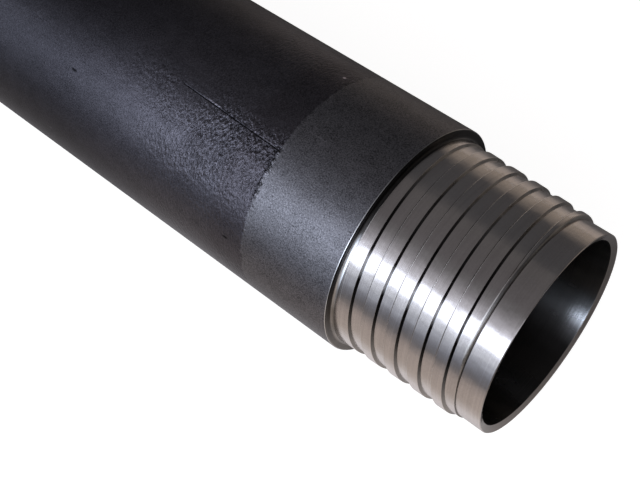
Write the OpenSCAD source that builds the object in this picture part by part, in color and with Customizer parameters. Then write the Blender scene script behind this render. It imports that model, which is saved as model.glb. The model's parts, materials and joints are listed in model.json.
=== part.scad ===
// Flush-jointed drill pipe: one turned steel tube with a tapered right-hand thread,
// a pin (outside thread) at one end and a box (inside thread) at the other.
// It lies along X with the pin towards +X, and its underside touches Z = 0.

/* [Tube] */
// Outside diameter of the tube, in mm
tube_diameter = 88.9; // [80:0.1:140]
// Wall of the tube between its two ends
tube_wall = 8.8; // [8:0.1:14]
// Working length, from the face of the box to the shoulder of the pin
working_length = 1000; // [250:10:3000]
// Chamfer on the outer edge of the shoulder and of the box face
edge_chamfer = 0.4; // [0.2:0.1:1.5]

/* [Pin] */
// Length of the pin, from the shoulder to the tip of the nose
pin_length = 58.8; // [45:0.1:90]
// Step from the outside of the tube down to the first thread crest
shoulder_step = 3.25; // [3:0.05:4.2]
// Length of the plain nose in front of the thread
nose_length = 9.6; // [5:0.1:20]
// Step from the last thread root down to the plain nose
nose_relief = 0.45; // [0.15:0.05:0.5]
// Chamfer on the outer edge of the nose
nose_chamfer = 0.3; // [0.2:0.1:0.6]
// Depth of the dished end of the nose, from its rim to the edge of the bore
mouth_depth = 1; // [0.3:0.1:2]

/* [Thread] */
// Advance of the thread in one turn
pitch = 9.45; // [7:0.05:12]
// Depth of the thread
thread_depth = 1; // [0.6:0.05:1.3]
// Lean of each thread flank from square, in degrees
flank_angle = 30; // [15:1:40]
// Lean of the step at the end of the thread from square, in degrees
end_angle = 10; // [5:1:45]
// Taper of the thread on each side, in degrees
taper_angle = 1.7; // [1:0.1:2]
// Gap between the fillet at the shoulder and the groove where its cut begins
cut_gap = 0.15; // [0.1:0.05:3]
// Angle round the tube at which the cut begins
start_angle = 65; // [0:5:355]
// Angle over which the cut sinks to its full depth
fade_angle = 80; // [30:5:180]

/* [Box] */
// Clearance between the threads of pin and box
thread_clearance = 0.15; // [0.1:0.05:0.3]
// Room between the tip of the nose and the floor of the box
nose_gap = 1; // [0.5:0.1:3]
// Room past the unthreaded start of the pin, at the end of the counterbore
counterbore_gap = 0.9; // [0.5:0.1:3]
// Depth of the recess where the box thread ends, past the thread roots
recess_depth = 0.3; // [0.2:0.05:0.6]
// Chamfer inside the mouth of the box
box_chamfer = 1; // [0.5:0.1:1.5]

/* [Hidden] */

// Straight pieces of the helix in one turn
turn_steps = 60;
// Straight pieces in the outline of each round surface
round_steps = 180;
// Straight pieces in the fillet at the foot of the pin
fillet_steps = 6;
// How far each thread cutter reaches past the surface that it cuts
overcut = 0.4;

tube_radius = tube_diameter / 2;
bore_radius = tube_radius - tube_wall;
total_length = working_length + pin_length;

crest_radius = tube_radius - shoulder_step;
thread_length = pin_length - nose_length;
thread_end_radius = cone_radius(thread_length);
nose_radius = thread_end_radius - thread_depth - nose_relief;
end_run = (thread_end_radius - nose_radius) * tan(end_angle);
// The fillet at the foot of the pin fits inside the chamfer of the box
root_fillet = box_chamfer;

// Crest and root of the thread are equally wide, with the two flanks between them
flank_run = thread_depth * tan(flank_angle);
crest_width = pitch / 2 - flank_run;
groove_width = pitch - crest_width;
first_cut = root_fillet + cut_gap + groove_half(overcut);

// The box repeats the pin's own shape, opened out by the clearance
counterbore_radius = crest_radius + thread_clearance;
pilot_radius = nose_radius + thread_clearance;
box_depth = pin_length + nose_gap;
full_cut = first_cut + pitch * (1 + fade_angle / 360);
counterbore_length = full_cut - groove_width / 2 + counterbore_gap;
recess_radius = thread_end_radius + thread_clearance + recess_depth;
recess_start = thread_length - groove_width / 2;
recess_end = thread_length + groove_width / 2 + thread_clearance;

// Radius of the crest cone at a distance from the shoulder, straight past the thread's end
function cone_radius(along) = crest_radius - min(along, thread_length) * tan(taper_angle);

// Radius of the inner crests of the box thread at a distance from its face
function box_crest_radius(along) = cone_radius(along) - thread_depth + thread_clearance;

// Half the width of the pin's groove at a height over the crest cone
function groove_half(height) = groove_width / 2 + height * tan(flank_angle);

// Half the width of the room for the pin's ridge, at a height over the crest cone
function ridge_half(height) = crest_width / 2 - height * tan(flank_angle) + thread_clearance;

// Four corners of a cutter, as [along, height over the crest cone]
function cutter_corners(low, high, low_half, high_half) =
    [[-low_half, low], [-high_half, high], [high_half, high], [low_half, low]];

// One closed bar that winds along the tapered helix, from one distance to another,
// and sinks from a given lift to its full depth over the first steps
module helix_cutter(corners, first, last, lift = 0) {
    steps = ceil((last - first) / pitch * turn_steps);
    fade_steps = fade_angle / 360 * turn_steps;
    sides = len(corners);
    points = [
        for (step = [0 : steps], corner = corners)
            let (
                turn = start_angle + step * 360 / turn_steps,
                along = first + step * pitch / turn_steps + corner[0],
                rise = lift * max(0, 1 - step / fade_steps),
                radius = cone_radius(along) + corner[1] + rise
            )
            [radius * cos(turn), radius * sin(turn), along]
    ];
    walls = [
        for (step = [0 : steps - 1], side = [0 : sides - 1])
            let (
                near = step * sides + side,
                next = step * sides + (side + 1) % sides
            )
            each [[near, next + sides, near + sides], [near, next, next + sides]]
    ];
    first_cap = [for (side = [sides - 1 : -1 : 0]) side];
    last_cap = [for (side = [0 : sides - 1]) steps * sides + side];
    polyhedron(points, concat([first_cap], walls, [last_cap]), convexity = 12);
}

// The groove that leaves the thread standing on the pin
module pin_groove() {
    low = -thread_depth;
    helix_cutter(
        cutter_corners(low, overcut, groove_half(low), groove_half(overcut)),
        first_cut,
        thread_length + groove_width,
        thread_depth + overcut / 2
    );
}

// The groove inside the box, half a pitch from the pin's, that takes the pin's thread
module box_groove() {
    low = -thread_depth - overcut;
    helix_cutter(
        cutter_corners(low, thread_clearance, ridge_half(low), ridge_half(thread_clearance)),
        first_cut + pitch / 2,
        thread_length
    );
}

// Quarter circle from the face of the shoulder to the crest cone, as [radius, along]
function foot_fillet() = [
    for (step = [0 : fillet_steps])
        let (turn = 90 * step / fillet_steps)
        [
            cone_radius(root_fillet) + root_fillet * (1 - sin(turn)),
            working_length + root_fillet * (1 - cos(turn))
        ]
];

// Section of the tube as [radius, along]: up the outside, round the nose, down the bore
function tube_section() = [
    [tube_radius - edge_chamfer, 0],
    [tube_radius, edge_chamfer],
    [tube_radius, working_length - edge_chamfer],
    [tube_radius - edge_chamfer, working_length],
    each foot_fillet(),
    [cone_radius(thread_length - end_run), working_length + thread_length - end_run],
    [nose_radius, working_length + thread_length],
    [nose_radius, total_length - nose_chamfer],
    [nose_radius - nose_chamfer, total_length],
    [bore_radius, total_length - mouth_depth],
    [bore_radius, box_depth],
    [pilot_radius, box_depth],
    [pilot_radius, recess_end],
    [recess_radius, recess_end],
    [recess_radius, recess_start],
    [box_crest_radius(recess_start), recess_start],
    [box_crest_radius(counterbore_length), counterbore_length],
    [counterbore_radius, counterbore_length],
    [counterbore_radius, box_chamfer],
    [counterbore_radius + box_chamfer, 0]
];

module drill_pipe() {
    color("dimgray")
        translate([-total_length / 2, 0, tube_radius])
            rotate([0, 90, 0])
                difference() {
                    rotate_extrude($fn = round_steps) polygon(tube_section());
                    translate([0, 0, working_length]) pin_groove();
                    box_groove();
                }
}

drill_pipe();
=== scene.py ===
# %% [markdown]
# A drill pipe: one steel tube, turned down at one end to a threaded pin and bored out at the
# other to a threaded box. The packed model gives its true sizes. This lesson draws the same
# form again as one fine surface, gives each machined zone its own finish, and lights it.

# %% Load the model that everything is measured from
import json
import math

import bmesh
import bpy
import numpy as np
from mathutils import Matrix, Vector


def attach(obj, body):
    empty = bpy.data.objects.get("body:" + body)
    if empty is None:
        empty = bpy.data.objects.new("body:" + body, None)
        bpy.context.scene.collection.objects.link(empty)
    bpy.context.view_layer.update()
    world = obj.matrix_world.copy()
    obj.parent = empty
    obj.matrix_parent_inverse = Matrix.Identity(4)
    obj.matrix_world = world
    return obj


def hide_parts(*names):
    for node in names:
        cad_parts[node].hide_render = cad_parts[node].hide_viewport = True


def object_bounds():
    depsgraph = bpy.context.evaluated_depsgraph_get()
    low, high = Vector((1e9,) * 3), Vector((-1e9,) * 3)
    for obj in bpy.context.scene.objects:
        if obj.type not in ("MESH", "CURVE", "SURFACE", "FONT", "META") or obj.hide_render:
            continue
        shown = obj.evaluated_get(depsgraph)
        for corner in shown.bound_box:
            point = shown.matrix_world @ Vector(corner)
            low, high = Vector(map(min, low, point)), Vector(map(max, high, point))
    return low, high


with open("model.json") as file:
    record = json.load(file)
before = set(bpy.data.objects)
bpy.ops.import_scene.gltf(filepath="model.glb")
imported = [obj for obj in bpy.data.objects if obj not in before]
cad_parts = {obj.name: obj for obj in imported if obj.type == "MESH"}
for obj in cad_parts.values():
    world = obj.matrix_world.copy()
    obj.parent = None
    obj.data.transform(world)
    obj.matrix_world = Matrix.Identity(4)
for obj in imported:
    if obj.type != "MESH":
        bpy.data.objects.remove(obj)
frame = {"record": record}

cad_low, cad_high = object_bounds()
print("the pipe's box in metres:", [round(high - low, 4) for low, high in zip(cad_low, cad_high)])

# %% [markdown]
# The record lists the places where other parts meet the pipe, with their radii. Reading the
# sizes from there keeps this script in step with the solid model. Only what the record doesn't
# hold, the shape of the thread and the small chamfers, is written here, in metres.

# %% Sizes of the pipe
MM = 0.001
mounts = {mount["name"]: mount for mount in frame["record"]["mounts"]}


def mount_radius(name):
    """Radius of a round mount, in metres."""
    return mounts[name]["dims"]["r_mm"] * MM


def mount_reach(name):
    """Lowest and highest X of a round mount's wall, in metres."""
    half = mounts[name]["dims"]["length_mm"] * MM / 2
    middle = mounts[name]["pos_m"][0]
    return middle - half, middle + half


tube_radius = mount_radius("tube_body")
bore_radius = mount_radius("through_bore")
nose_radius = mount_radius("pin_nose")
counterbore_radius = mount_radius("box_mouth")
pilot_radius = mount_radius("box_pilot")
axis_height = mounts["tube_body"]["pos_m"][2]
shoulder_x = mounts["shoulder"]["pos_m"][0]
face_x = mounts["box_face"]["pos_m"][0]

PITCH = 9.45 * MM
THREAD_DEPTH = 1.0 * MM
FLANK_SLOPE = math.tan(math.radians(30))
TAPER_SLOPE = math.tan(math.radians(1.7))
END_SLOPE = math.tan(math.radians(10))
# The groove starts 65 degrees round from straight below, and columns are counted from +Y
START_ANGLE = math.radians(65 - 90)
FADE_ANGLE = math.radians(80)
SHOULDER_STEP = 3.25 * MM
CUT_GAP = 0.15 * MM
OVERCUT = 0.4 * MM
CLEARANCE = 0.15 * MM
RECESS_DEPTH = 0.3 * MM
EDGE_CHAMFER = 0.4 * MM
NOSE_CHAMFER = 0.3 * MM
BOX_CHAMFER = 1.0 * MM
FOOT_FILLET = BOX_CHAMFER

tip_x = mount_reach("pin_nose")[1] + NOSE_CHAMFER
mouth_x = mount_reach("through_bore")[1]
crest_radius = tube_radius - SHOULDER_STEP
thread_length = mount_reach("pin_nose")[0] - shoulder_x
thread_end_radius = crest_radius - thread_length * TAPER_SLOPE
flank_run = THREAD_DEPTH * FLANK_SLOPE
crest_width = PITCH / 2 - flank_run
groove_width = PITCH - crest_width
first_cut = FOOT_FILLET + CUT_GAP + groove_width / 2 + OVERCUT * FLANK_SLOPE
recess_radius = thread_end_radius + CLEARANCE + RECESS_DEPTH
recess_start = thread_length - groove_width / 2
recess_end = mount_reach("box_pilot")[0] - face_x
box_depth = mount_reach("box_pilot")[1] - face_x
counterbore_length = mount_reach("box_mouth")[1] - face_x
print("thread length in mm:", round(thread_length / MM, 2))
print("pin length in mm:", round((tip_x - shoulder_x) / MM, 2))

# %% [markdown]
# A turned part is a profile carried round an axis. Here the whole skin is one grid: each row is
# a line round the pipe and each column is one angle. A plain row is a circle, and a row of the
# thread is a turn of a helix. A spin modifier could make the circles, but not the helix, so
# every row is worked out as an array of distances along the axis and radii.

# %% Rows of plain circles
COLUMNS = 240
column_angle = np.linspace(0, 2 * np.pi, COLUMNS + 1)


def circle_rows(points):
    """A turned profile: each [along, radius] point becomes one row with the same value all round."""
    points = np.asarray(points, float)
    flat = np.ones_like(column_angle)
    return points[:, :1] * flat, points[:, 1:] * flat


def rounded(points, radius, steps):
    """A polyline with each inner corner replaced by an arc that touches both of its sides."""
    points = np.asarray(points, float)
    before = points[:-2] - points[1:-1]
    after = points[2:] - points[1:-1]
    before /= np.linalg.norm(before, axis=1, keepdims=True)
    after /= np.linalg.norm(after, axis=1, keepdims=True)
    half_corner = np.arccos(np.clip((before * after).sum(1), -1, 1)) / 2
    reach = radius / np.tan(half_corner)
    bisector = before + after
    bisector /= np.linalg.norm(bisector, axis=1, keepdims=True)
    centre = points[1:-1] + bisector * (radius / np.sin(half_corner))[:, None]
    start = points[1:-1] + before * reach[:, None] - centre
    end = points[1:-1] + after * reach[:, None] - centre
    share = np.linspace(0, 1, steps + 1)[None, :, None]
    sweep = (np.pi - 2 * half_corner)[:, None, None]
    arc = np.sin((1 - share) * sweep) * start[:, None] + np.sin(share * sweep) * end[:, None]
    arc = arc / np.sin(sweep) + centre[:, None]
    return np.concatenate([points[:1], arc.reshape(-1, 2), points[-1:]])


print("columns round the pipe:", COLUMNS)

# %% [markdown]
# The thread is a groove that winds round the tapered pin. Its section, one pitch long, has a
# flat root, two leaning flanks and a flat crest, with its corners slightly rounded as a real
# cutting tip leaves them. The section is carried along the helix, so that every edge of the
# thread is a line of the mesh and stays crisp. Where a row would run past the shoulder or past
# the end of the thread, it stops on that plane.

# %% Rows of the helix
CORNER_RADIUS = 0.16 * MM
CORNER_STEPS = 3
# Height at which the cutter begins, as a share of the thread's depth
FADE_LIFT = 1.2


def cone_radius(along):
    """Radius of the crest cone at a distance from the shoulder."""
    return crest_radius - np.minimum(along, thread_length) * TAPER_SLOPE


def helix_rows(section, first, low, high, share):
    """The section carried along the helix: distance grows by one pitch in each turn.

    Rows stop at the planes low and high, where they take the height that the section has there.
    share gives, from the angle travelled along the helix, how much of the groove's depth is cut.
    """
    turns = np.arange(-2, math.ceil((high - low) / PITCH) + 3)
    travelled = (column_angle - START_ANGLE)[None, :] + 2 * np.pi * turns[:, None]
    middle = first + PITCH * travelled / (2 * np.pi)
    along = middle[:, None, :] + section[None, :-1, :1]
    height = section[None, :-1, 1:] * share(travelled)[:, None, :]
    along = along.reshape(-1, COLUMNS + 1)
    height = height.reshape(-1, COLUMNS + 1)

    def stop_height(plane):
        """Height of the section on a plane, for each column, with the groove's depth there."""
        offset = plane - first - PITCH * (column_angle - START_ANGLE) / (2 * np.pi)
        turn = np.round(offset / PITCH)
        depth = share(column_angle - START_ANGLE + 2 * np.pi * turn)
        return np.interp(offset, section[:, 0], section[:, 1], period=PITCH) * depth

    height = np.where(along <= low, stop_height(low), height)
    height = np.where(along >= high, stop_height(high), height)
    along = np.clip(along, low, high)
    return along, cone_radius(along) + height


def groove_share(travelled):
    """The pin's groove sinks evenly to its full depth over the fade angle, from nothing."""
    return np.clip(1 - FADE_LIFT * (1 - travelled / FADE_ANGLE), 0, 1)


root_half = groove_width / 2 - flank_run
groove_section = rounded(
    [
        [-PITCH / 2, 0],
        [-groove_width / 2, 0],
        [-root_half, -THREAD_DEPTH],
        [root_half, -THREAD_DEPTH],
        [groove_width / 2, 0],
        [PITCH / 2, 0],
    ],
    CORNER_RADIUS,
    CORNER_STEPS,
)
pin_along, pin_radius = helix_rows(
    groove_section, first_cut, FOOT_FILLET, thread_length, groove_share
)
print("rows of the pin thread:", len(pin_along))

# %% [markdown]
# At its end the thread drops to the plain nose in a step that leans a little. Its upper corner
# is rounded over, so that it doesn't catch when it enters a box. The rows of the thread are
# drawn back to that rounded step, and a few more rows carry it down to the nose.

# %% End of the thread
END_ROUND = 0.95 * MM


def end_along(radius):
    """How far the thread reaches at a radius: a leaning step with a rounded upper corner."""
    over = np.clip(radius - (thread_end_radius - END_ROUND), 0, END_ROUND)
    rolled = END_ROUND - np.sqrt(END_ROUND**2 - over**2)
    return thread_length - (radius - nose_radius) * END_SLOPE - rolled


pin_along = np.minimum(pin_along, end_along(pin_radius))
roll = np.linspace(0, np.pi / 2, CORNER_STEPS + 2)[1:, None]
end_radius = np.minimum(pin_radius[-1], thread_end_radius - END_ROUND * (1 - np.cos(roll)))
print("rows of the rounded end:", len(end_radius))

# %% [markdown]
# The box has the same thread on its inside, half a pitch further on, where the ridges of the
# next pipe's pin go. The same function makes it from another section, opened out by the
# clearance that lets the two screw together.

# %% Rows of the box thread
box_crest = CLEARANCE - THREAD_DEPTH
room_top_half = crest_width / 2 + CLEARANCE - CLEARANCE * FLANK_SLOPE
room_foot_half = room_top_half + flank_run
room_section = rounded(
    [
        [-PITCH / 2, box_crest],
        [-room_foot_half, box_crest],
        [-room_top_half, CLEARANCE],
        [room_top_half, CLEARANCE],
        [room_foot_half, box_crest],
        [PITCH / 2, box_crest],
    ],
    CORNER_RADIUS,
    CORNER_STEPS,
)
box_along, box_radius = helix_rows(
    room_section, first_cut + PITCH / 2, counterbore_length, recess_start, np.ones_like
)
print("rows of the box thread:", len(box_along))

# %% [markdown]
# Each row also says which finish the strip after it takes. The wide faces have three: mill scale
# on the tube, bright turned steel on the pin and in the box, and the bore's dark steel. The
# others carry painted light and shade on narrow faces: the thread's flanks towards the tip, its
# crest edges, the shoulder's face, foot and edge, and the thread's rounded end with the step below it.

# %% Finishes of the strips
SCALE, TURNED, FLANK, CREST, FACE, FOOT, END, STEP, EDGE, BORE = range(10)


def stretch(rows, finish):
    """Rows with the finish of the strips that follow them, one for all or one for each row."""
    along, radius = rows
    return along, radius, np.broadcast_to(finish, len(along))


def section_finish(rows):
    """Finish of each strip of a thread: painted shade and highlight on the flank towards the tip,
    painted highlights on the crest edges away from it.
    """
    turned_corner = [TURNED] * CORNER_STEPS
    flank_side_painted = [*turned_corner, FLANK, *[FLANK] * CORNER_STEPS]
    crest_side_highlighted = [*turned_corner, TURNED, *[CREST] * CORNER_STEPS]
    one_pitch = [TURNED, *flank_side_painted, TURNED, *crest_side_highlighted, TURNED]
    return np.tile(one_pitch, len(rows) // len(one_pitch))


print("strips in one pitch of the thread:", len(groove_section) - 1)

# %% [markdown]
# No turned edge is perfectly sharp. The corners of the box face, the shoulder and the tip are
# short profiles with small arcs, and the foot of the pin has a larger one, the fillet that the
# solid model has too. A bevel modifier could round them, but here each strip of an arc needs a
# finish of its own.

# %% Turned edges
EDGE_ROUND = 0.12 * MM
EDGE_STEPS = 2
SHOULDER_ROUND = 0.4 * MM
SHOULDER_STEPS = 4
FILLET_STEPS = 8


def edge(points, radius=EDGE_ROUND, steps=EDGE_STEPS):
    """A turned profile with softly rounded corners, without its two ends."""
    return rounded(points, radius, steps)[1:-1]


nose_x = shoulder_x + thread_length
face_edge = edge(
    [
        [face_x, counterbore_radius + BOX_CHAMFER],
        [face_x, tube_radius - EDGE_CHAMFER],
        [face_x + EDGE_CHAMFER, tube_radius],
        [shoulder_x, tube_radius],
    ]
)
shoulder_edge = edge(
    [
        [face_x, tube_radius],
        [shoulder_x - EDGE_CHAMFER, tube_radius],
        [shoulder_x, tube_radius - EDGE_CHAMFER],
        [shoulder_x, crest_radius],
    ],
    SHOULDER_ROUND,
    SHOULDER_STEPS,
)
foot_radius = cone_radius(FOOT_FILLET)
pin_foot = edge(
    [[shoulder_x, tube_radius], [shoulder_x, foot_radius], [nose_x, foot_radius]],
    FOOT_FILLET,
    FILLET_STEPS,
)
tip_edge = edge(
    [
        [nose_x, nose_radius],
        [tip_x - NOSE_CHAMFER, nose_radius],
        [tip_x, nose_radius - NOSE_CHAMFER],
        [mouth_x, bore_radius],
        [face_x, bore_radius],
    ]
)
print("points on the shoulder's edge:", len(shoulder_edge), "and on the tip:", len(tip_edge))

# %% [markdown]
# Now the rows are put one after another: along the outside of the tube, over the shoulder and
# the pin, round the tip, back through the bore and out of the box. The last row joins the first,
# so the skin is one closed surface.

# %% The skin's rows in order
TUBE_ROWS = 25


def straight(start, end, radius, count):
    """Evenly spaced [along, radius] points of a cylinder."""
    along = np.linspace(start, end, count)
    return np.stack([along, np.full(count, radius)], 1)


tube_side = straight(face_edge[-1, 0], shoulder_edge[0, 0], tube_radius, TUBE_ROWS)
bore_side = straight(tip_edge[-1, 0], face_x + box_depth, bore_radius, TUBE_ROWS)
box_floor = [
    [face_x + box_depth, pilot_radius],
    [face_x + recess_end, pilot_radius],
    [face_x + recess_end, recess_radius],
    [face_x + recess_start, recess_radius],
]
box_mouth = [
    [face_x + counterbore_length, counterbore_radius],
    [face_x + BOX_CHAMFER, counterbore_radius],
    [face_x, counterbore_radius + BOX_CHAMFER],
]
skin = [
    stretch(circle_rows(face_edge[:-1]), TURNED),
    stretch(circle_rows(tube_side), SCALE),
    stretch(circle_rows(shoulder_edge[1:SHOULDER_STEPS]), EDGE),
    stretch(circle_rows(shoulder_edge[SHOULDER_STEPS:]), FACE),
    stretch(circle_rows(pin_foot), FOOT),
    stretch((shoulder_x + pin_along, pin_radius), section_finish(pin_along)),
    stretch((shoulder_x + end_along(end_radius[:-1]), end_radius[:-1]), END),
    stretch((shoulder_x + end_along(end_radius[-1:]), end_radius[-1:]), STEP),
    stretch(circle_rows([[nose_x, nose_radius]]), TURNED),
    stretch(circle_rows(tip_edge[:-1]), TURNED),
    stretch(circle_rows(bore_side), BORE),
    stretch(circle_rows(box_floor), TURNED),
    stretch((face_x + box_along[::-1], box_radius[::-1]), TURNED),
    stretch(circle_rows(box_mouth), TURNED),
]
row_along, row_radius, row_finish = [np.concatenate(column) for column in zip(*skin)]
print("rows in the skin:", len(row_along))

# %% [markdown]
# The grid becomes a mesh: four neighbours make a face. Rows that stopped on a plane lie on top
# of each other, and the last column lies on the first, so doubled points are merged. Edges that
# turn sharply are marked.

# %% From grid to mesh
MERGE_DISTANCE = 1e-6
SHARP_ANGLE = math.radians(32)


def grid_faces(rows, columns):
    """Corner numbers of the four-sided faces of a grid whose last row joins its first."""
    row, column = np.meshgrid(np.arange(rows), np.arange(columns - 1), indexing="ij")
    below = row * columns + column
    above = (row + 1) % rows * columns + column
    return np.stack([below, below + 1, above + 1, above], -1).reshape(-1, 4)


def skin_mesh(name):
    """The closed skin: x from the row, y and z from the radius and the column's angle."""
    y = row_radius * np.cos(column_angle)
    z = row_radius * np.sin(column_angle) + axis_height
    points = np.stack([row_along, y, z], -1).reshape(-1, 3)
    mesh = bpy.data.meshes.new(name)
    mesh.from_pydata(points, [], grid_faces(*row_along.shape))
    finish = np.repeat(row_finish, COLUMNS).astype(np.int32)
    mesh.polygons.foreach_set("material_index", finish)
    return mesh


def unwrap(mesh, name):
    """A map with u along the rows and v round the pipe, so that its tangent runs along the axis."""
    rows = len(row_along)
    row_share = np.repeat(np.arange(rows) / rows, COLUMNS)
    turn_share = np.tile(np.arange(COLUMNS) / COLUMNS, rows)
    u = row_share[:, None] + np.array([0, 0, 1, 1]) / rows
    v = turn_share[:, None] + np.array([0, 1, 1, 0]) / COLUMNS
    layer = mesh.uv_layers.new(name=name)
    layer.uv.foreach_set("vector", np.stack([u, v], -1).astype(np.float32).ravel())


def tidy_mesh(mesh):
    """Merges doubled points, drops faces with no width and turns all faces outwards."""
    work = bmesh.new()
    work.from_mesh(mesh)
    bmesh.ops.remove_doubles(work, verts=work.verts, dist=MERGE_DISTANCE)
    bmesh.ops.dissolve_degenerate(work, edges=work.edges, dist=MERGE_DISTANCE)
    bmesh.ops.recalc_face_normals(work, faces=work.faces)
    open_edges = sum(len(edge.link_faces) != 2 for edge in work.edges)
    litres = work.calc_volume(signed=True) * 1000
    work.to_mesh(mesh)
    work.free()
    mesh.shade_smooth()
    mesh.set_sharp_from_angle(angle=SHARP_ANGLE)
    print("faces:", len(mesh.polygons), "open edges:", open_edges)
    print("litres of steel:", round(litres, 4))


# %% [markdown]
# The mesh becomes the pipe's one visible piece. It stands for the solid model's pipe and moves
# with the part's only body. Its normals follow the large faces, so flat crests stay flat beside
# their rounded corners.

# %% The pipe as a piece
UV_NAME = "along_and_round"
LARGE_FACES_FIRST = 100
pipe_mesh = skin_mesh("pipe_skin")
unwrap(pipe_mesh, UV_NAME)
tidy_mesh(pipe_mesh)
pipe = bpy.data.objects.new("pipe_skin", pipe_mesh)
bpy.context.scene.collection.objects.link(pipe)
normals = pipe.modifiers.new("flat_crests", "WEIGHTED_NORMAL")
normals.keep_sharp = True
normals.weight = LARGE_FACES_FIRST
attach(pipe, "root")
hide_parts("drill_pipe")
print("corners of the skin:", len(pipe_mesh.vertices))

# %% [markdown]
# A finish is a graph of nodes. Written out in full, each node takes several lines, so a small
# class keeps the words short: each helper adds a node, joins what is given to it and hands back
# its output. Sums and products of outputs then read like plain arithmetic. The same helpers
# serve the finishes of the pipe, the floor and the room.

# %% Short words for node graphs


class Graph:
    """A node graph under construction, with helpers that add nodes and return their outputs."""

    def __init__(self, tree):
        self.nodes = tree.nodes
        self.links = tree.links

    def give(self, socket, value):
        """Joins an output to a socket, or sets a plain value there."""
        if isinstance(value, bpy.types.NodeSocket):
            self.links.new(value, socket)
        else:
            socket.default_value = value

    def math(self, operation, *values):
        """One step of arithmetic."""
        node = self.nodes.new("ShaderNodeMath")
        node.operation = operation
        for socket, value in zip(node.inputs, values):
            self.give(socket, value)
        return node.outputs[0]

    def total(self, *values):
        """Sum of several numbers."""
        result = values[0]
        for value in values[1:]:
            result = self.math("ADD", result, value)
        return result

    def product(self, *values):
        """Product of several numbers."""
        result = values[0]
        for value in values[1:]:
            result = self.math("MULTIPLY", result, value)
        return result

    def weighted(self, *pairs):
        """Sum of several numbers, each times its own weight."""
        return self.total(*[self.product(value, weight) for value, weight in pairs])

    def distance(self, value, middle):
        """How far a number is from a middle one, on either side."""
        return self.math("ABSOLUTE", self.math("SUBTRACT", value, middle))

    def split(self, vector):
        """The X, Y and Z of a vector."""
        node = self.nodes.new("ShaderNodeSeparateXYZ")
        self.links.new(vector, node.inputs[0])
        return list(node.outputs)

    def fade(self, value, start, end, low=0.0, high=1.0, kind="SMOOTHSTEP"):
        """Goes from low, where the value is at start, to high, where it is at end, and stays there."""
        node = self.nodes.new("ShaderNodeMapRange")
        node.interpolation_type = kind
        names = ("Value", "From Min", "From Max", "To Min", "To Max")
        for name, given in zip(names, (value, start, end, low, high)):
            self.give(node.inputs[name], given)
        return node.outputs[0]

    def ramp(self, value, stops):
        """A colour that changes evenly from stop to stop as the value grows."""
        first, last = stops[0][0], stops[-1][0]
        node = self.nodes.new("ShaderNodeValToRGB")
        self.links.new(self.fade(value, first, last, kind="LINEAR"), node.inputs[0])
        elements = node.color_ramp.elements
        elements[0].color = stops[0][1]
        elements[1].color = stops[-1][1]
        for place, colour in stops[1:-1]:
            elements.new((place - first) / (last - first)).color = colour
        return node.outputs[0]

    def mix(self, share, first, second):
        """A colour between two colours."""
        node = self.nodes.new("ShaderNodeMix")
        node.data_type = "RGBA"
        colour_a, colour_b = [socket for socket in node.inputs if socket.type == "RGBA"]
        self.give(node.inputs[0], share)
        self.give(colour_a, first)
        self.give(colour_b, second)
        return [socket for socket in node.outputs if socket.type == "RGBA"][0]

    def tint(self, colour, level):
        """A colour made lighter or darker by a number."""
        node = self.nodes.new("ShaderNodeVectorMath")
        node.operation = "SCALE"
        self.give(node.inputs["Vector"], colour)
        self.give(node.inputs["Scale"], level)
        return node.outputs["Vector"]


print("helpers for node graphs:", [name for name in vars(Graph) if not name.startswith("_")])

# %% [markdown]
# A material adds a few words of its own. Its patterns are placed in metres on the piece itself,
# never by the camera, so they stay put from every side. On a round bar the useful places are
# the distance along the axis and the angle round it.

# %% Short words for materials
# Most values of a noise lie between these two
NOISE_SPREAD = (0.3, 0.7)


class Finish(Graph):
    """The graph of a material, from the place on its piece to its shader."""

    def __init__(self, name):
        self.material = bpy.data.materials.new(name)
        self.material.use_nodes = True
        super().__init__(self.material.node_tree)
        self.shader = self.nodes["Principled BSDF"]
        self.place = self.nodes.new("ShaderNodeTexCoord").outputs["Object"]

    def noise(self, scale, detail=2.0, roughness=0.5):
        """Soft random values from 0 to 1. scale is in bumps per metre along X, Y and Z."""
        mapping = self.nodes.new("ShaderNodeMapping")
        mapping.inputs["Scale"].default_value = scale
        self.links.new(self.place, mapping.inputs["Vector"])
        node = self.nodes.new("ShaderNodeTexNoise")
        node.inputs["Scale"].default_value = 1
        node.inputs["Detail"].default_value = detail
        node.inputs["Roughness"].default_value = roughness
        self.links.new(mapping.outputs["Vector"], node.inputs["Vector"])
        return node.outputs[0]

    def pipe_place(self):
        """Distance from the shoulder in metres, and angle from the top of the pipe in radians."""
        mapping = self.nodes.new("ShaderNodeMapping")
        mapping.inputs["Location"].default_value = (-shoulder_x, 0, -axis_height)
        self.links.new(self.place, mapping.inputs["Vector"])
        along, aside, above = self.split(mapping.outputs["Vector"])
        return along, self.math("ARCTAN2", aside, above)

    def relief(self, height):
        """Leans the surface as a height in metres would."""
        node = self.nodes.new("ShaderNodeBump")
        node.inputs["Distance"].default_value = 1
        self.links.new(height, node.inputs["Height"])
        self.links.new(node.outputs["Normal"], self.shader.inputs["Normal"])

    def brush_along_axis(self, amount):
        """Spreads mirrored light along the axis, as the fine rings of a lathe tool do."""
        self.shader.inputs["Anisotropic"].default_value = amount
        tangent = self.nodes.new("ShaderNodeTangent")
        tangent.direction_type = "UV_MAP"
        tangent.uv_map = UV_NAME
        self.links.new(tangent.outputs[0], self.shader.inputs["Tangent"])

    def metal(self, colour, roughness):
        """Sets the shader to bare metal."""
        self.shader.inputs["Metallic"].default_value = 1
        self.give(self.shader.inputs["Base Color"], colour)
        self.give(self.shader.inputs["Roughness"], roughness)


def grey(level, warmth=0.0):
    """A grey colour, warmer above zero and cooler below it."""
    return (level * (1 + warmth), level, level * (1 - warmth), 1)


print("helpers for materials:", [name for name in vars(Finish) if not name.startswith("_")])

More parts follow.
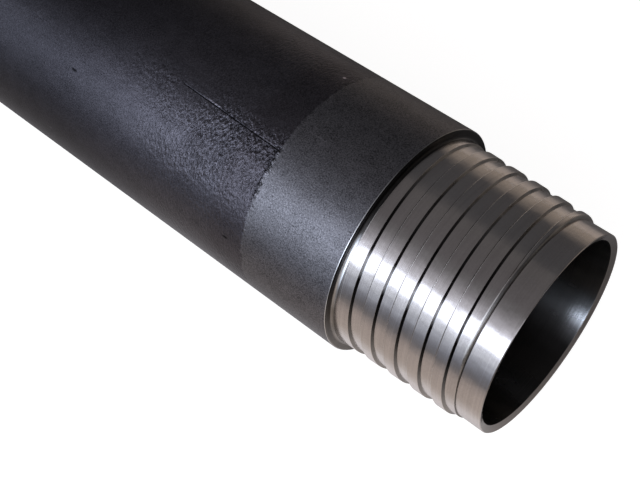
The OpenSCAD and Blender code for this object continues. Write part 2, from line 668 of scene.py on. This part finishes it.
# %% [markdown]
# The tube is as it came from the rolling mill, under a thin blue-black scale. Beside the
# shoulder a band has been blasted to a lighter satin grey, and just behind it heat has browned
# the scale. Two materials would meet on a straight line of the mesh, and the real line is
# ragged. So both are zones of one material: each is a fade along the axis, shaken by a noise.

# %% Zones along the tube
SATIN_LENGTH = 38.5 * MM
HEAT_LENGTH = 53.8 * MM
RAGGED = 1.8 * MM
SATIN_BLEND = 0.45 * MM
HEAT_BLEND = 2 * MM
PLAIN_SCALE = (0.062, 0.0558, 0.060, 1)
HEATED_SCALE = (0.052, 0.0445, 0.047, 1)
SATIN_STEEL = (0.100, 0.0915, 0.0915, 1)


def tube_zones(finish, along):
    """Distance past the ragged edge of the satin, share of satin and share of heated scale."""
    wander = finish.noise((160, 480, 480), 4.0, 0.65)
    ragged = finish.math("MULTIPLY_ADD", wander, RAGGED, along)
    past_satin = finish.math("SUBTRACT", ragged, RAGGED / 2 - SATIN_LENGTH)
    past_heat = finish.math("SUBTRACT", ragged, RAGGED / 2 - HEAT_LENGTH)
    satin = finish.fade(past_satin, -SATIN_BLEND, SATIN_BLEND)
    heat = finish.fade(past_heat, -HEAT_BLEND, HEAT_BLEND)
    return past_satin, satin, heat


print("length of the satin band in mm:", round(SATIN_LENGTH / MM, 1))

# %% [markdown]
# The scale has a leathery skin: ripples drawn out round the pipe, strong in patches on one side
# and smoother further back. At the satin band its edge is broken into chips, with a painted
# shadow just behind them. Both could be carved into the mesh, but they are only tenths of a
# millimetre high, so a bump and a change of shade from the same noise show them at a fraction of the
# faces.

# %% Leathery ripples and chipped edge
LEATHER_SIDE = math.radians(-43)


def leather_bumps(finish, along, facing, bare):
    """Ripples about zero, times their strength by patch, by side, by distance and by zone."""
    ripple = finish.noise((1150, 540, 540), 2.5, 0.55)
    patches = finish.noise((40, 60, 60), 2.0)
    strength = finish.product(
        finish.fade(patches, 0.38, 0.62, 0.5, 1.2),
        finish.fade(facing, 0.46, 0.16, 0.3, 1.1),
        finish.fade(along, -0.12, -0.06, 0.15, 1.0),
        bare,
    )
    return finish.product(strength, finish.math("SUBTRACT", ripple, 0.5))


def chipped_edge(finish, past_satin, facing):
    """Chips about zero on the edge of the scale, and a painted shadow from 0 to 1 just behind it."""
    chips = finish.noise((650, 650, 650), 2.0)
    lip = finish.product(
        finish.fade(finish.distance(past_satin, 0.0), 1.4 * MM, 0.2 * MM),
        finish.fade(facing, 0.36, 0.16, 0.3, 1.0),
        finish.math("SUBTRACT", chips, 0.5),
    )
    # Painted shadow: a dark line just behind the chips, on the side that the light falls on
    chip_shadow = finish.product(
        finish.fade(finish.distance(past_satin, -0.5 * MM), 0.7 * MM, 0.1 * MM),
        finish.fade(facing, 0.34, 0.14),
        finish.fade(chips, 0.42, 0.52),
    )
    return lip, chip_shadow


print("leather faces", round(math.degrees(LEATHER_SIDE)), "degrees from the top")

# %% [markdown]
# A pipe that has been handled carries marks. The longest is a scratch along the tube, with two
# painted glints on its rim. A scratch is a line in the two places along and round, and a spot is an
# oval in them, so each needs only a few numbers.

# %% Scratches and spots
# Lines along the tube: degrees from the top at the front end, lean in radians a metre, back and
# front end in mm behind the shoulder, half-width in mm, and how much lighter (or darker, below
# zero) the steel is there. The first is cut into the scale, and the last two are painted glints on its
# rim
SCRATCHES = [
    (-31.0, -0.75, 86, 37.5, 0.35, -1.1),
    (-46.3, 0.0, 150, 50, 0.30, -0.2),
    (-29.14, -0.75, 75, 66, 0.28, 4.0),
    (-30.285, -0.75, 53, 41, 0.22, 1.6),
]

# Spots on the tube: mm behind the shoulder, degrees from the top, half-length and half-width in
# mm, and how much lighter or darker the steel is there
SPOTS = [
    (42.2, 18, 0.8, 0.8, 7.0),
    (140.0, -93, 0.9, 0.6, 1.5),
    (46.2, -81, 1.6, 0.6, -1.2),
    (129.0, -52, 1.8, 0.6, -1.0),
    (50.3, -103, 0.7, 5.0, 0.5),
    (36.0, -40, 2.2, 0.35, 0.35),
    (30.0, -17, 7.0, 0.3, 0.3),
]


def scratch(finish, along, angle, degrees, lean, back, front, half_width):
    """A line along the pipe: 1 on its middle, 0 from its sides outwards, faded at both ends."""
    start, end = -back * MM, -front * MM
    centre = finish.math("MULTIPLY_ADD", along, lean, math.radians(degrees) - lean * end)
    across = finish.product(finish.distance(angle, centre), tube_radius / (half_width * MM))
    return finish.product(
        finish.fade(across, 1.0, 0.0),
        finish.fade(along, start, start + 4 * MM),
        finish.fade(along, end, end - 1 * MM),
    )


def spot(finish, along, angle, behind, degrees, half_length, half_width, strength):
    """A soft oval: its strength at the middle, 0 from its rim outwards."""
    ahead = finish.math("MULTIPLY_ADD", along, 1 / (half_length * MM), behind / half_length)
    widths = tube_radius / (half_width * MM)
    aside = finish.math("MULTIPLY_ADD", angle, widths, -math.radians(degrees) * widths)
    squares = finish.weighted((ahead, ahead), (aside, aside))
    return finish.fade(squares, 1.0, 0.0, 0.0, strength)


print("scratches:", len(SCRATCHES), "spots:", len(SPOTS))

# %% [markdown]
# Now the tube's finish is put together. One sum of heights leans the surface. Another sum makes
# the shade, which multiplies the colour of the zone, so that ripples, chips and the long scratch
# are both felt and seen. Further back the scale is darker and rougher.

# %% Mill scale and satin band
DARKEST_SHADE = 0.1
SCALE_MIRROR = 0.70


def mill_scale():
    """The zone's colour times a shade about 1, over a relief that sums all bumps in metres."""
    finish = Finish("mill_scale")
    along, angle = finish.pipe_place()
    past_satin, satin, heat = tube_zones(finish, along)
    bare = finish.math("SUBTRACT", 1.0, satin)
    facing = finish.distance(angle, LEATHER_SIDE)
    leather = leather_bumps(finish, along, facing, bare)
    lip, chip_shadow = chipped_edge(finish, past_satin, facing)
    grain = finish.noise((2200, 2200, 2200), 2.0, 0.6)
    mottle = finish.noise((120, 160, 160), 4.0, 0.6)
    lines = [(scratch(finish, along, angle, *place), strength) for *place, strength in SCRATCHES]
    spots = [spot(finish, along, angle, *values) for values in SPOTS]
    long_scratch = lines[0][0]
    finish.relief(
        finish.weighted(
            (leather, 0.85 * MM),
            (grain, 0.06 * MM),
            (bare, 0.06 * MM),
            (lip, 0.9 * MM),
            (long_scratch, -0.1 * MM),
        )
    )

    shade = finish.weighted(
        (finish.math("SUBTRACT", grain, 0.5), finish.fade(satin, 0.0, 1.0, 2.1, 2.9)),
        (finish.math("SUBTRACT", mottle, 0.5), 0.7),
        (leather, 1.8),
        (lip, 4.5),
        (chip_shadow, -0.9),
        *lines,
    )
    shade = finish.total(shade, *spots, 1.0)
    shade = finish.product(shade, finish.fade(along, -0.15, -0.06, 0.53, 1.09))
    scale_colour = finish.mix(finish.product(heat, 0.5), PLAIN_SCALE, HEATED_SCALE)
    colour = finish.mix(satin, scale_colour, SATIN_STEEL)
    colour = finish.tint(colour, finish.math("MAXIMUM", shade, DARKEST_SHADE))
    scale_roughness = finish.fade(along, -0.12, -0.06, 0.48, 0.36)
    finish.metal(colour, finish.fade(satin, 0.0, 1.0, scale_roughness, 0.42))
    finish.shader.inputs["Specular Tint"].default_value = grey(SCALE_MIRROR)
    print("nodes in the mill scale:", len(finish.nodes))
    return finish.material


# %% [markdown]
# The pin is bright from the lathe. Its tool leaves fine rings round the axis, so light spreads
# along the pipe more than round it. The shader's anisotropy does that, with a tangent that
# follows the map made above, and a noise that changes fast along X draws the rings themselves.
# Slow waves in the relief keep the highlights from being too straight.

# %% Turned steel
DARK_STEEL = (0.30, 0.263, 0.237, 1)
BRIGHT_STEEL = (0.39, 0.344, 0.310, 1)


def turned_steel():
    """Bare metal between two steels: its shade is a weighted sum of rings, bands, film and specks."""
    finish = Finish("turned_steel")
    rings = finish.noise((2600, 14, 14), 3.0, 0.6)
    bands = finish.noise((420, 6, 6), 2.0)
    film = finish.noise((70, 110, 110), 3.0, 0.6)
    waves = finish.noise((110, 150, 150), 2.0)
    specks = finish.noise((1500, 1500, 1500), 1.0)
    finish.relief(finish.weighted((rings, 0.010 * MM), (waves, 0.12 * MM)))
    shade = finish.weighted((rings, 0.4), (bands, 0.25), (film, 0.15), (specks, 0.2))
    colour = finish.mix(finish.fade(shade, *NOISE_SPREAD), DARK_STEEL, BRIGHT_STEEL)
    finish.metal(colour, finish.fade(film, *NOISE_SPREAD, 0.18, 0.23))
    finish.brush_along_axis(0.6)
    print("nodes in the turned steel:", len(finish.nodes))
    return finish.material


# %% [markdown]
# The narrow faces between the wide ones are black lines in some places and bright in others,
# because each mirrors a small part of its surroundings. The room below is too simple to give all
# of that by itself. So a ramp over the angle from the top paints that light and shade into each
# face's colour and sets how dark each face is. Painting the mesh could do it too, but a ramp is easier
# to read.

# %% Painted light and shade on narrow faces
# Each ramp is a list of stops: degrees from the top, below zero on the -Y side, and the colour
# there, with its painted light or shade. First come both sides of the thread: its flank towards the
# tip and its crest edge
# Painted shade and highlight: near black where the flank mirrors dark parts of the room, a painted
# highlight from -56 to -50 degrees where it mirrors the window, and painted lighter towards both ends
FLANK_SHADE_AND_HIGHLIGHT = [
    (-115, grey(0.14, 0.16)),
    (-100, grey(0.10, 0.16)),
    (-85, grey(0.05, 0.14)),
    (-73, grey(0.011, 0.08)),
    (-60, grey(0.010, 0.05)),
    (-56, grey(0.42, 0.02)),
    (-50, grey(0.42, 0.02)),
    (-45, grey(0.011, 0.08)),
    (-32, grey(0.014, 0.08)),
    (-20, grey(0.055, 0.08)),
    (-8, grey(0.13, 0.08)),
    (5, grey(0.19, 0.10)),
    (20, grey(0.23, 0.12)),
    (60, grey(0.25, 0.12)),
]
# Painted highlight: the crest edge is painted lighter above -38 degrees, a thin light line where it
# catches light
CREST_HIGHLIGHT = [
    (-115, grey(0.34, 0.12)),
    (-48, grey(0.34, 0.12)),
    (-38, grey(0.56, 0.10)),
    (60, grey(0.56, 0.10)),
]

# The face of the shoulder, its outer edge and the fillet at the foot of the pin
# Painted shade: the shoulder's face is near black where it mirrors the shadowed floor, browner towards
# -115 degrees
FACE_SHADE = [
    (-115, grey(0.10, 0.16)),
    (-95, grey(0.05, 0.16)),
    (-75, grey(0.012, 0.10)),
    (60, grey(0.012, 0.10)),
]
# Painted highlight: the shoulder's rounded edge is lightest near -45 degrees, where it catches the
# window
EDGE_HIGHLIGHT = [
    (-115, grey(0.30, 0.06)),
    (-75, grey(0.50, 0.06)),
    (-45, grey(0.70, 0.06)),
    (-25, grey(0.34, 0.06)),
    (0, grey(0.18, 0.06)),
    (60, grey(0.18, 0.06)),
]
# Painted highlight from -60 to -51 degrees, where the fillet mirrors the window, and painted shade
# above -41 degrees, where it mirrors the dark face of the shoulder
FOOT_SHADE_AND_HIGHLIGHT = [
    (-115, grey(0.12, 0.16)),
    (-85, grey(0.12, 0.16)),
    (-72, grey(0.30, 0.10)),
    (-60, grey(0.85, 0.03)),
    (-51, grey(0.80, 0.03)),
    (-41, grey(0.06, 0.10)),
    (-28, grey(0.02, 0.10)),
    (60, grey(0.02, 0.10)),
]

# The rounded end of the thread, and the step from there down to the nose, in painted shade
# where they mirror dark parts of the room and painted lighter where they mirror light
END_SHADE = [
    (-115, grey(0.30, 0.12)),
    (-60, grey(0.36, 0.12)),
    (-48, grey(0.34, 0.12)),
    (-40, grey(0.20, 0.10)),
    (-33, grey(0.145, 0.10)),
    (5, grey(0.15, 0.10)),
    (25, grey(0.25, 0.12)),
    (60, grey(0.30, 0.12)),
]
# Painted shade: the step is a near black line, painted lighter above -25 degrees
STEP_SHADE = [
    (-115, grey(0.14, 0.16)),
    (-85, grey(0.05, 0.14)),
    (-70, grey(0.011, 0.08)),
    (-35, grey(0.014, 0.08)),
    (-25, grey(0.07, 0.08)),
    (-12, grey(0.20, 0.10)),
    (60, grey(0.28, 0.12)),
]


def colour_painted_by_angle(finish, angle, paint_by_angle):
    """The painted colour at an angle in radians: a ramp over the same angle in degrees."""
    return finish.ramp(finish.product(angle, 180 / math.pi), paint_by_angle)


def steel_painted_by_angle(name, paint_by_angle):
    """Bare metal in the colour painted by angle, with its painted light and shade, made a quarter
    lighter or darker by a noise.
    """
    finish = Finish(name)
    _, angle = finish.pipe_place()
    film = finish.noise((200, 90, 90), 3.0, 0.6)
    colour = colour_painted_by_angle(finish, angle, paint_by_angle)
    colour = finish.tint(colour, finish.fade(film, *NOISE_SPREAD, 0.75, 1.25))
    finish.metal(colour, finish.fade(film, *NOISE_SPREAD, 0.26, 0.36))
    return finish.material


print("stops in the flank's film:", len(FLANK_SHADE_AND_HIGHLIGHT))

# %% [markdown]
# The bore's steel is painted darker than the pin's, as shade where little light gets in. One
# side of its mouth carries a painted highlight where it mirrors the window. That patch is a ramp
# over the angle again, for the same reason, and it fades into the plain bore within a few millimetres.

# %% Bore
# Painted shade: the bore's steel is darker than the pin's, where little light gets in
BORE_STEEL = grey(0.12, 0.08)
MOUTH_DEPTH = 9 * MM
# Painted highlight: a bright patch round 129 degrees at the mouth, where it mirrors the window
BORE_MOUTH_HIGHLIGHT = [
    (60, grey(0.13, 0.08)),
    (106, grey(0.10, 0.06)),
    (121, grey(0.30, 0.04)),
    (129, grey(0.95, 0.04)),
    (136, grey(0.34, 0.04)),
    (147, grey(0.10, 0.08)),
    (180, grey(0.13, 0.08)),
]


def bore_steel():
    """Brushed dark metal: the mouth's painted highlight fades to one grey with the depth, under fine
    rings.
    """
    finish = Finish("bore_steel")
    along, angle = finish.pipe_place()
    rings = finish.noise((1900, 12, 12), 3.0, 0.6)
    film = finish.noise((25, 60, 60), 3.0, 0.6)
    finish.relief(finish.product(rings, 0.006 * MM))
    depth = finish.math("SUBTRACT", mouth_x - shoulder_x, along)
    mouth = colour_painted_by_angle(finish, angle, BORE_MOUTH_HIGHLIGHT)
    colour = finish.mix(finish.fade(depth, 0.0, MOUTH_DEPTH), mouth, BORE_STEEL)
    colour = finish.tint(colour, finish.fade(rings, *NOISE_SPREAD, 0.8, 1.2))
    finish.metal(colour, finish.fade(film, *NOISE_SPREAD, 0.24, 0.28))
    finish.brush_along_axis(0.8)
    return finish.material


print("depth of the bright mouth in mm:", round(MOUTH_DEPTH / MM, 1))

# %% [markdown]
# Every strip of the skin already holds the number of its finish. A mesh looks that number up in
# its list of materials, so they are appended in the order of the numbers.

# %% Put the finishes on the skin
finishes = {
    SCALE: mill_scale(),
    TURNED: turned_steel(),
    FLANK: steel_painted_by_angle("flank_film", FLANK_SHADE_AND_HIGHLIGHT),
    CREST: steel_painted_by_angle("crest_edge", CREST_HIGHLIGHT),
    FACE: steel_painted_by_angle("face_film", FACE_SHADE),
    FOOT: steel_painted_by_angle("foot_film", FOOT_SHADE_AND_HIGHLIGHT),
    END: steel_painted_by_angle("end_film", END_SHADE),
    STEP: steel_painted_by_angle("step_film", STEP_SHADE),
    EDGE: steel_painted_by_angle("worn_edge", EDGE_HIGHLIGHT),
    BORE: bore_steel(),
}
for number in sorted(finishes):
    pipe_mesh.materials.append(finishes[number])
print("finishes on the pipe:", [material.name for material in pipe_mesh.materials])

# %% [markdown]
# The camera stands where the photograph was taken from: in front of the pin, a little to one
# side and looking down by about fifty degrees. Its place and lens were worked out from the
# outlines of the tube, the shoulder and the nose. The photograph is a cut from a larger picture,
# whose middle lies elsewhere, so the lens is shifted instead of the camera being turned.

# %% Camera
CAMERA_PLACE = Vector((0.61432, -0.20137, 0.35242))
CAMERA_AIM = Vector((0.44885, -0.01111, 0.04833))
LENS_MM = 63.884
LENS_SHIFT = (-0.0341, -0.0439)
SENSOR_MM = 36
NEAREST_SEEN = 0.01
camera_data = bpy.data.cameras.new("camera")
camera_data.sensor_width = SENSOR_MM
camera_data.lens = LENS_MM
camera_data.shift_x, camera_data.shift_y = LENS_SHIFT
camera_data.clip_start = NEAREST_SEEN
camera = bpy.data.objects.new("camera", camera_data)
camera.location = CAMERA_PLACE
camera.rotation_euler = (CAMERA_AIM - CAMERA_PLACE).to_track_quat("-Z", "Y").to_euler()
bpy.context.scene.collection.objects.link(camera)
bpy.context.scene.camera = camera
print("camera to pipe in metres:", round((CAMERA_AIM - CAMERA_PLACE).length, 3))

# %% [markdown]
# The pipe lies on a white floor. Plain white paint would have to be lit very brightly to look
# white, and that light would wash out the steel. So the floor's paint takes the light and the
# shadow, and a glow seen by the camera makes up the rest. The metal mirrors another glow, a
# painted reflection of the floor: a painted pool of light on the window's side and a painted
# shadow of the pipe on the other. It changes across the floor, is painted dimmer under the tube
# than under the pin, and fades out past the ends of the pipe.

# %% Floor
FLOOR_HALF = 30
GLOW_SEEN = 0.9
FLOOR_PAINT = (0.42, 0.38, 0.335, 1)
# The mirrored glow dies out over this distance past each end of the pipe, in metres
END_FADE = 0.1
# Between these two distances from the shoulder it rises from the tube's share to its full level,
# a painted shade that is dimmer beside the tube than beside the pin
PIN_LIT = (-0.045, -0.015)
TUBE_SHARE = 0.76

# What the metal mirrors of the floor, by the distance from the pipe's middle in Y, in metres: a
# painted pool of light on the window's side, a painted shadow of the pipe from 0.05 to 0.20, and
# a painted glow of the far floor
FLOOR_MIRRORED = [
    (-0.60, (0.90, 1.10, 1.45, 1)),
    (-0.25, (0.20, 0.26, 0.39, 1)),
    (-0.16, (0.09, 0.11, 0.15, 1)),
    (-0.10, (0.66, 0.60, 0.585, 1)),
    (-0.06, (0.68, 0.62, 0.585, 1)),
    (-0.042, (0.96, 0.94, 0.98, 1)),
    (-0.034, (0.72, 0.68, 0.70, 1)),
    (-0.02, (0.25, 0.24, 0.24, 1)),
    (0.05, (0.0, 0.0, 0.0, 1)),
    (0.20, (0.0, 0.0, 0.0, 1)),
    (0.34, (0.41, 0.357, 0.324, 1)),
    (0.90, (0.78, 0.68, 0.60, 1)),
]


def floor_material():
    """Matt paint with a glow: plain grey for the camera's rays, and for mirrored rays a ramp over Y of
    painted light and of the pipe's painted shadow.

    The mirrored ramp is times one share along the pipe and another past its ends.
    """
    finish = Finish("white_floor")
    x, y, _ = finish.split(finish.place)
    past_end = finish.math("SUBTRACT", finish.math("ABSOLUTE", x), cad_high[0])
    beside = finish.fade(past_end, 0.0, END_FADE, 1.0, 0.0)
    lit_from, lit_to = [shoulder_x + offset for offset in PIN_LIT]
    lit = finish.fade(x, lit_from, lit_to, TUBE_SHARE, 1.0)
    mirrored = finish.tint(finish.ramp(y, FLOOR_MIRRORED), finish.product(beside, lit))
    path = finish.nodes.new("ShaderNodeLightPath").outputs
    camera_ray = path["Is Camera Ray"]
    mirror_ray = finish.math("MAXIMUM", path["Is Glossy Ray"], path["Is Transmission Ray"])
    glow = finish.mix(camera_ray, mirrored, grey(GLOW_SEEN))
    sockets = finish.shader.inputs
    sockets["Base Color"].default_value = FLOOR_PAINT
    sockets["Roughness"].default_value = 1
    sockets["Specular IOR Level"].default_value = 0
    finish.give(sockets["Emission Color"], glow)
    finish.give(sockets["Emission Strength"], finish.math("MAXIMUM", camera_ray, mirror_ray))
    return finish.material


floor_mesh = bpy.data.meshes.new("floor")
corners = np.array([[-1, -1, 0], [1, -1, 0], [1, 1, 0], [-1, 1, 0]]) * FLOOR_HALF
floor_mesh.from_pydata(corners, [], [(0, 1, 2, 3)])
floor_mesh.materials.append(floor_material())
floor = bpy.data.objects.new("floor", floor_mesh)
bpy.context.scene.collection.objects.link(floor)
print("floor:", 2 * FLOOR_HALF, "m wide")

# %% [markdown]
# Bare metal shows its surroundings, so the light is mostly a matter of what stands around the
# pipe: a wide cool window low on one side, a warm pale wall on the other, and a dark ceiling.
# All but the window's own lamp is the world, coloured by the angle round the pipe's axis,
# because a round bar mirrors exactly that angle.

# %% Wall and ceiling
# Degrees from level on the window's side, over the ceiling, to level on the wall's side
ROOM = [
    (0, (1.5, 1.75, 2.15, 1)),
    (33, (1.45, 1.58, 1.9, 1)),
    (41, (0.92, 0.99, 1.18, 1)),
    (49, (0.50, 0.53, 0.62, 1)),
    (57, (0.30, 0.32, 0.36, 1)),
    (65, (0.24, 0.245, 0.28, 1)),
    (90, (0.215, 0.22, 0.245, 1)),
    (105, (0.215, 0.22, 0.24, 1)),
    (108, (0.165, 0.172, 0.192, 1)),
    (115, (0.13, 0.138, 0.158, 1)),
    (154, (0.12, 0.125, 0.14, 1)),
    (161, (0.31, 0.29, 0.28, 1)),
    (168, (0.46, 0.42, 0.39, 1)),
    (180, (0.60, 0.53, 0.47, 1)),
]


def room_world():
    """A world whose colour is a ramp over the angle from -Y up to +Z and on to +Y."""
    world = bpy.data.worlds.new("room")
    world.use_nodes = True
    graph = Graph(world.node_tree)
    _, y, z = graph.split(graph.nodes.new("ShaderNodeTexCoord").outputs["Generated"])
    swing = graph.math("ARCTAN2", z, graph.product(y, -1.0))
    colour = graph.ramp(graph.product(swing, 180 / math.pi), ROOM)
    graph.give(graph.nodes["Background"].inputs["Color"], colour)
    return world


bpy.context.scene.world = room_world()
bpy.context.scene.view_settings.view_transform = "Standard"
print("stops round the room:", len(ROOM))

# %% [markdown]
# The window is an area lamp. Its sheet is as wide as a real window, so its shadows are soft, and
# the metal mirrors it as a bright band along the pipe. The camera doesn't see it.

# %% Window
WINDOW_LEVEL = 4.3
WINDOW_WIDTH = 5.0
WINDOW_HEIGHT = 0.74
WINDOW_PLACE = (-0.9, -2.1, 0.885)
WINDOW_COLOUR = (0.68, 0.82, 1.06)


def window_lamp():
    """An upright lamp that faces +Y. Its power is the level, times pi, times its area."""
    data = bpy.data.lights.new("window", "AREA")
    data.shape = "RECTANGLE"
    data.size = WINDOW_WIDTH
    data.size_y = WINDOW_HEIGHT
    data.energy = WINDOW_LEVEL * math.pi * WINDOW_WIDTH * WINDOW_HEIGHT
    data.color = WINDOW_COLOUR
    lamp = bpy.data.objects.new("window", data)
    lamp.location = WINDOW_PLACE
    lamp.rotation_euler = (math.radians(90), 0, 0)
    lamp.visible_camera = False
    bpy.context.scene.collection.objects.link(lamp)
    return lamp


window_lamp()
print("window:", WINDOW_WIDTH, "by", WINDOW_HEIGHT, "m")

# %% [markdown]
